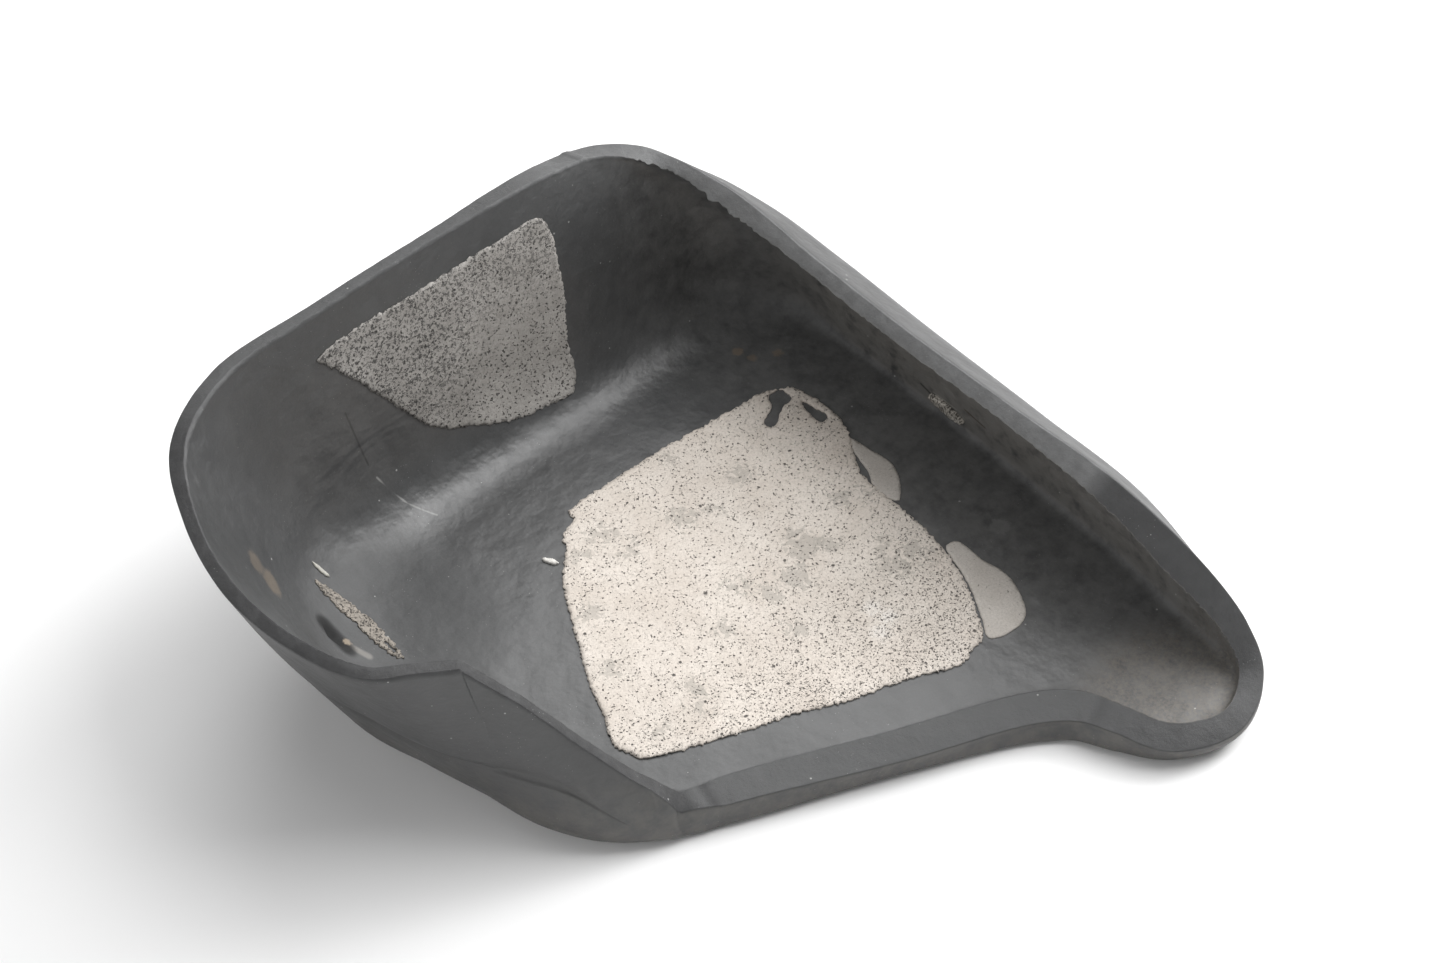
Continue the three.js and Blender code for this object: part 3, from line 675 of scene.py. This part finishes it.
film_top += [((-5, -41, 0.4), 22, 0.10), ((8, -50, 0.4), 20, 0.12), ((10, -36, 0.4), 22, 0.10),
             ((20, 4, 0.4), 20, 0.1)]
pale = [((x, y, 0.4), 1.7) for x, y in ((-1.1, -44.2), (-0.5, -48), (-4.3, -49.7))]
floor_film = sheet("floor_paint_sheet", FLOOR_FILM, FLOOR_GAPS, from_above, 0.45, 0.55, 0.8, 1.0, 0.25)
PINHOLES = ((0.95, 0.25, 0.30), (1.7, 0.34, 0.30), (2.7, 0.34, 0.22), (0.34, 0.14, 0.22))
cream = finish_film("cream_paint_film", CREAM, CREAM_DARK, PINHOLES, film_top, pale, (8.0, -48.0, 2.4))
hand_over(floor_film, cream, "floor_paint_film")

# ---------------------------------------------------------------- two spills
# Thinner tongues of the same paint that ran out past the sheet's right edge and dried smooth. A gap
# or a fine crack parts each from the sheet along part of its edge. Elsewhere it runs into the sheet.

BACK_SPILL = [
    (27.6, -9.6), (27.9, -13.7), (28.6, -16.8), (28.5, -19.8), (27, -22.9), (24.7, -25.8), (22.3, -27.9),
    (21.2, -25.1), (20.8, -21.8), (22.3, -19.5), (23.6, -17.6), (24.4, -14.0), (25.4, -10.6), (27.2, -8.2)]
SIDE_SPILL = [
    (21.9, -42.2), (23, -42.4), (23.8, -43.6), (23.7, -46), (23.5, -49.9), (24.4, -53.1), (24.4, -56.5),
    (23, -60.5), (20.4, -64.8), (18.4, -65.9), (15.1, -66.3), (12, -65.7), (9.8, -64.2), (12, -61.5),
    (13.7, -58.6), (15.6, -55.2), (17.4, -51.6), (18.7, -48), (19.6, -44.6), (20.6, -42.2)]
for name, outline, node, seed in (("back_spill_tongue", BACK_SPILL, "floor_spill_back", 4.0),
                                  ("side_spill_tongue", SIDE_SPILL, "floor_spill_side", 5.0)):
    tongue = sheet(name, outline, [], from_above, 0.32, 0.12, 0.7, seed)
    hand_over(tongue, finish_film(name + "_paint", (0.56, 0.525, 0.485, 1), (0.49, 0.455, 0.415, 1),
                                  ((1.2, 0.14, 0.4), (2.6, 0.16, 0.3)), [((18, -58, 0.3), 5, 0.2)]),
              node)

# ------------------------------------------------------------ back wall film
# A thin grey coat on the back wall, worn through to the plastic in dense dark speckle, most of all
# toward its left point and upper edge.

WALL_FILM = [
    (-6, 43.2), (-4.9, 41.5), (-4.4, 37.6), (-4.7, 32.4), (-4.4, 26.4), (-5.2, 19.8), (-6.2, 12.3),
    (-5.7, 9.3), (-6.7, 5.9), (-8.1, 4.4), (-10.2, 4), (-14.2, 4.4), (-23.2, 5.3), (-27.7, 6.8),
    (-34, 9.2), (-41.1, 12.8), (-45.6, 19.4), (-51.7, 28.5), (-57, 35.8), (-61.4, 41.4), (-63.4, 43.1),
    (-58.8, 43.7), (-51, 44.2), (-42.6, 43.7), (-33.5, 43.6), (-23.1, 43.9), (-14.8, 43.7), (-10.5, 44),
    (-7.8, 44)]


def from_front(p):
    return Vector((p.x + SHIFT[0], SHIFT[1], p.y + SHIFT[2])) / 1000, Vector((0, 1, 0))


wall_film = sheet("back_wall_coat", WALL_FILM, [], from_front, 0.22, 0.45, 0.8, 7.0)
finish = finish_film("grey_paint_film", (0.40, 0.382, 0.36, 1), (0.31, 0.295, 0.275, 1),
                     ((1.15, 0.34, 0.5), (1.9, 0.38, 0.5), (0.6, 0.2, 0.35)))
film, coat, rough, relief = finish
worn = film.ramp(film.noise(1.3, 3, 0.8), 0.52, 0.57)
film_height = film.node("ShaderNodeSeparateXYZ", {}, {0: film.place}, 2)
near_tip = film.spot((-60, 42, 42), 46).most(film.ramp(film_height, 26.0, 52.0))
coat = film.mix(worn * near_tip * 0.85, coat, (0.048, 0.046, 0.044, 1))
SCRATCHES = (((-14, 48, 27), (-9, 48, 17)), ((-28, 48, 38), (-26.5, 48, 32)), ((-21, 47, 12), (-19, 47, 8)))
for start, end in SCRATCHES:
    coat = film.mix(film.stroke(start, end, 0.5) * 0.8, coat, (0.06, 0.058, 0.055, 1))
hand_over(wall_film, (film, coat, rough, relief), "rear_wall_paint_film")

# ------------------------------------------- strip and fleck on the left wall
# A narrow scraped strip of the grey coat low on the left wall, and a small fleck above it.

STRIP = [(-80.9, 26.9), (-79, 26.2), (-76.7, 22.6), (-75.2, 18.2), (-74.8, 12.6), (-75.2, 6), (-76.8, 6.6),
         (-78.2, 12.5), (-78.6, 18.3), (-80, 22.4)]
strip = sheet("scraped_strip", STRIP, [[(-76.6, 11.6), (-75.9, 11.4), (-75.8, 8), (-76.4, 8.2)]], from_above,
              0.25, 0.7, 0.5, 8.0)
hand_over(strip, finish_film("scraped_paint", (0.36, 0.32, 0.275, 1), (0.22, 0.20, 0.175, 1),
                             ((1.3, 0.42, 0.7), (2.3, 0.42, 0.8))), "side_wall_paint_strip")


def oval(centre, long, short, tilt):
    turn = math.radians(tilt)
    steps = [math.tau * i / 12 for i in range(12)]
    return [(centre[0] + long * math.cos(a) * math.cos(turn) - short * math.sin(a) * math.sin(turn),
             centre[1] + long * math.cos(a) * math.sin(turn) + short * math.sin(a) * math.cos(turn))
            for a in steps]


fleck = sheet("wall_fleck", oval((-77.6, 28.4), 1.6, 0.5, -50), [], from_above, 0.3, 0.2, 0.4, 9.0)
hand_over(fleck, finish_film("fleck_paint", (0.5, 0.49, 0.44, 1), (0.4, 0.39, 0.35, 1),
                             ((2.4, 0.25, 0.4),)), "side_wall_paint_fleck")

# --------------------------------------------------- loose flake on the floor
# One curled chip of white paint lying beside the large sheet.

flake = sheet("curled_flake", oval((-39.3, 6.5), 1.75, 0.62, -62), [], from_above, 0.6, 0.2, 0.35, 10.0)
hand_over(flake, finish_film("flake_paint", (0.85, 0.83, 0.79, 1), (0.72, 0.70, 0.66, 1),
                             ((2.0, 0.15, 0.2),)), "loose_paint_flake")

# ---------------------------------------------------- crust on the right wall
# Whitish ridged crumbs of old paint, packed along a crack just above the wall's foot.

CRUST = [(-12.4, 4), (-14.6, 5.1), (-18.4, 5), (-22, 3.9), (-23.2, 2.8), (-19.4, 2), (-15, 2.3)]


def from_left(p):
    return Vector((20 + SHIFT[0], p.x + SHIFT[1], p.y + SHIFT[2])) / 1000, Vector((1, 0, 0))


crust = sheet("wall_crust", CRUST, [], from_left, 0.9, 0.45, 0.3, 11.0)
film, coat, rough, relief = finish_film("crust_paint", (0.92, 0.88, 0.80, 1), (0.66, 0.61, 0.54, 1),
                                        ((1.3, 0.3, 0.3),))
ridge = film.ramp(film.noise(0.8, 4, 0.8, 1.5, film.squeezed(1, 1.6, 1)), 0.46, 0.54)
coat = film.mix(ridge * 0.8, (0.10, 0.092, 0.08, 1), coat)
hand_over(crust, (film, coat, rough, relief), "right_wall_crust")

# ------------------------------------------------------------ camera, light
# A pale bench under five soft lights, seen from the open front left corner.

centre = Vector((SHIFT / 1000).tolist())
LENS_MM = 74.74
elevation, azimuth, distance = math.radians(47), math.radians(-42), 0.6
back = Vector((math.sin(azimuth) * math.cos(elevation), -math.cos(azimuth) * math.cos(elevation),
               math.sin(elevation)))
right = Vector((math.cos(azimuth), math.sin(azimuth), 0))
up = back.cross(right)
eye = bpy.data.cameras.new("camera")
eye.sensor_width, eye.lens = 36.0, LENS_MM
eye.clip_start, eye.clip_end = 0.01, 20
camera = bpy.data.objects.new("camera", eye)
camera.matrix_world = Matrix.Translation(centre + back * distance) @ Matrix((
    (right.x, up.x, back.x, 0), (right.y, up.y, back.y, 0), (right.z, up.z, back.z, 0), (0, 0, 0, 1)))
bpy.context.scene.collection.objects.link(camera)
bpy.context.scene.camera = camera

BENCH_HALF, BENCH_DROP = 3, 0.0002
bench_corners = [(x * BENCH_HALF, y * BENCH_HALF, 0) for x, y in ((-1, -1), (1, -1), (1, 1), (-1, 1))]
bench_mesh = bpy.data.meshes.new("bench")
bench_mesh.from_pydata(bench_corners, [], [(0, 1, 2, 3)])
bench = bpy.data.objects.new("bench", bench_mesh)
bench.location.z = -BENCH_DROP
bpy.context.scene.collection.objects.link(bench)
bench_finish = Finish("pale_bench", Roughness=0.9, Base_Color=(0.9, 0.9, 0.9, 1))
bench_mesh.materials.append(bench_finish.material)

world = bpy.data.worlds.new("soft_room")
world.use_nodes = True
world.node_tree.nodes["Background"].inputs["Color"].default_value = (1, 1, 1, 1)
world.node_tree.nodes["Background"].inputs["Strength"].default_value = 0.22
bpy.context.scene.world = world


def soft_light(name, place, size, power):
    lamp = bpy.data.lights.new(name, "AREA")
    lamp.shape, lamp.size, lamp.energy = "SQUARE", size, power
    holder = bpy.data.objects.new(name, lamp)
    facing_in = Vector(place).to_track_quat("Z", "Y").to_matrix().to_4x4()
    holder.matrix_world = Matrix.Translation(place) @ facing_in
    bpy.context.scene.collection.objects.link(holder)


SOFTBOX_WIDTH = 0.7
for name, place, power in (
        ("overhead_softbox", (0.55, -0.27, 1.03), 7.4), ("rear_softbox", (0.55, 0.61, 0.88), 4.8),
        ("top_softbox", (0, 0, 1.2), 2.8), ("left_softbox", (-1.08, 0.12, 0.6), 4.4),
        ("right_softbox", (1.08, -0.12, 0.6), 15.6)):
    soft_light(name, place, SOFTBOX_WIDTH, power)
bpy.context.scene.view_settings.view_transform = "Standard"
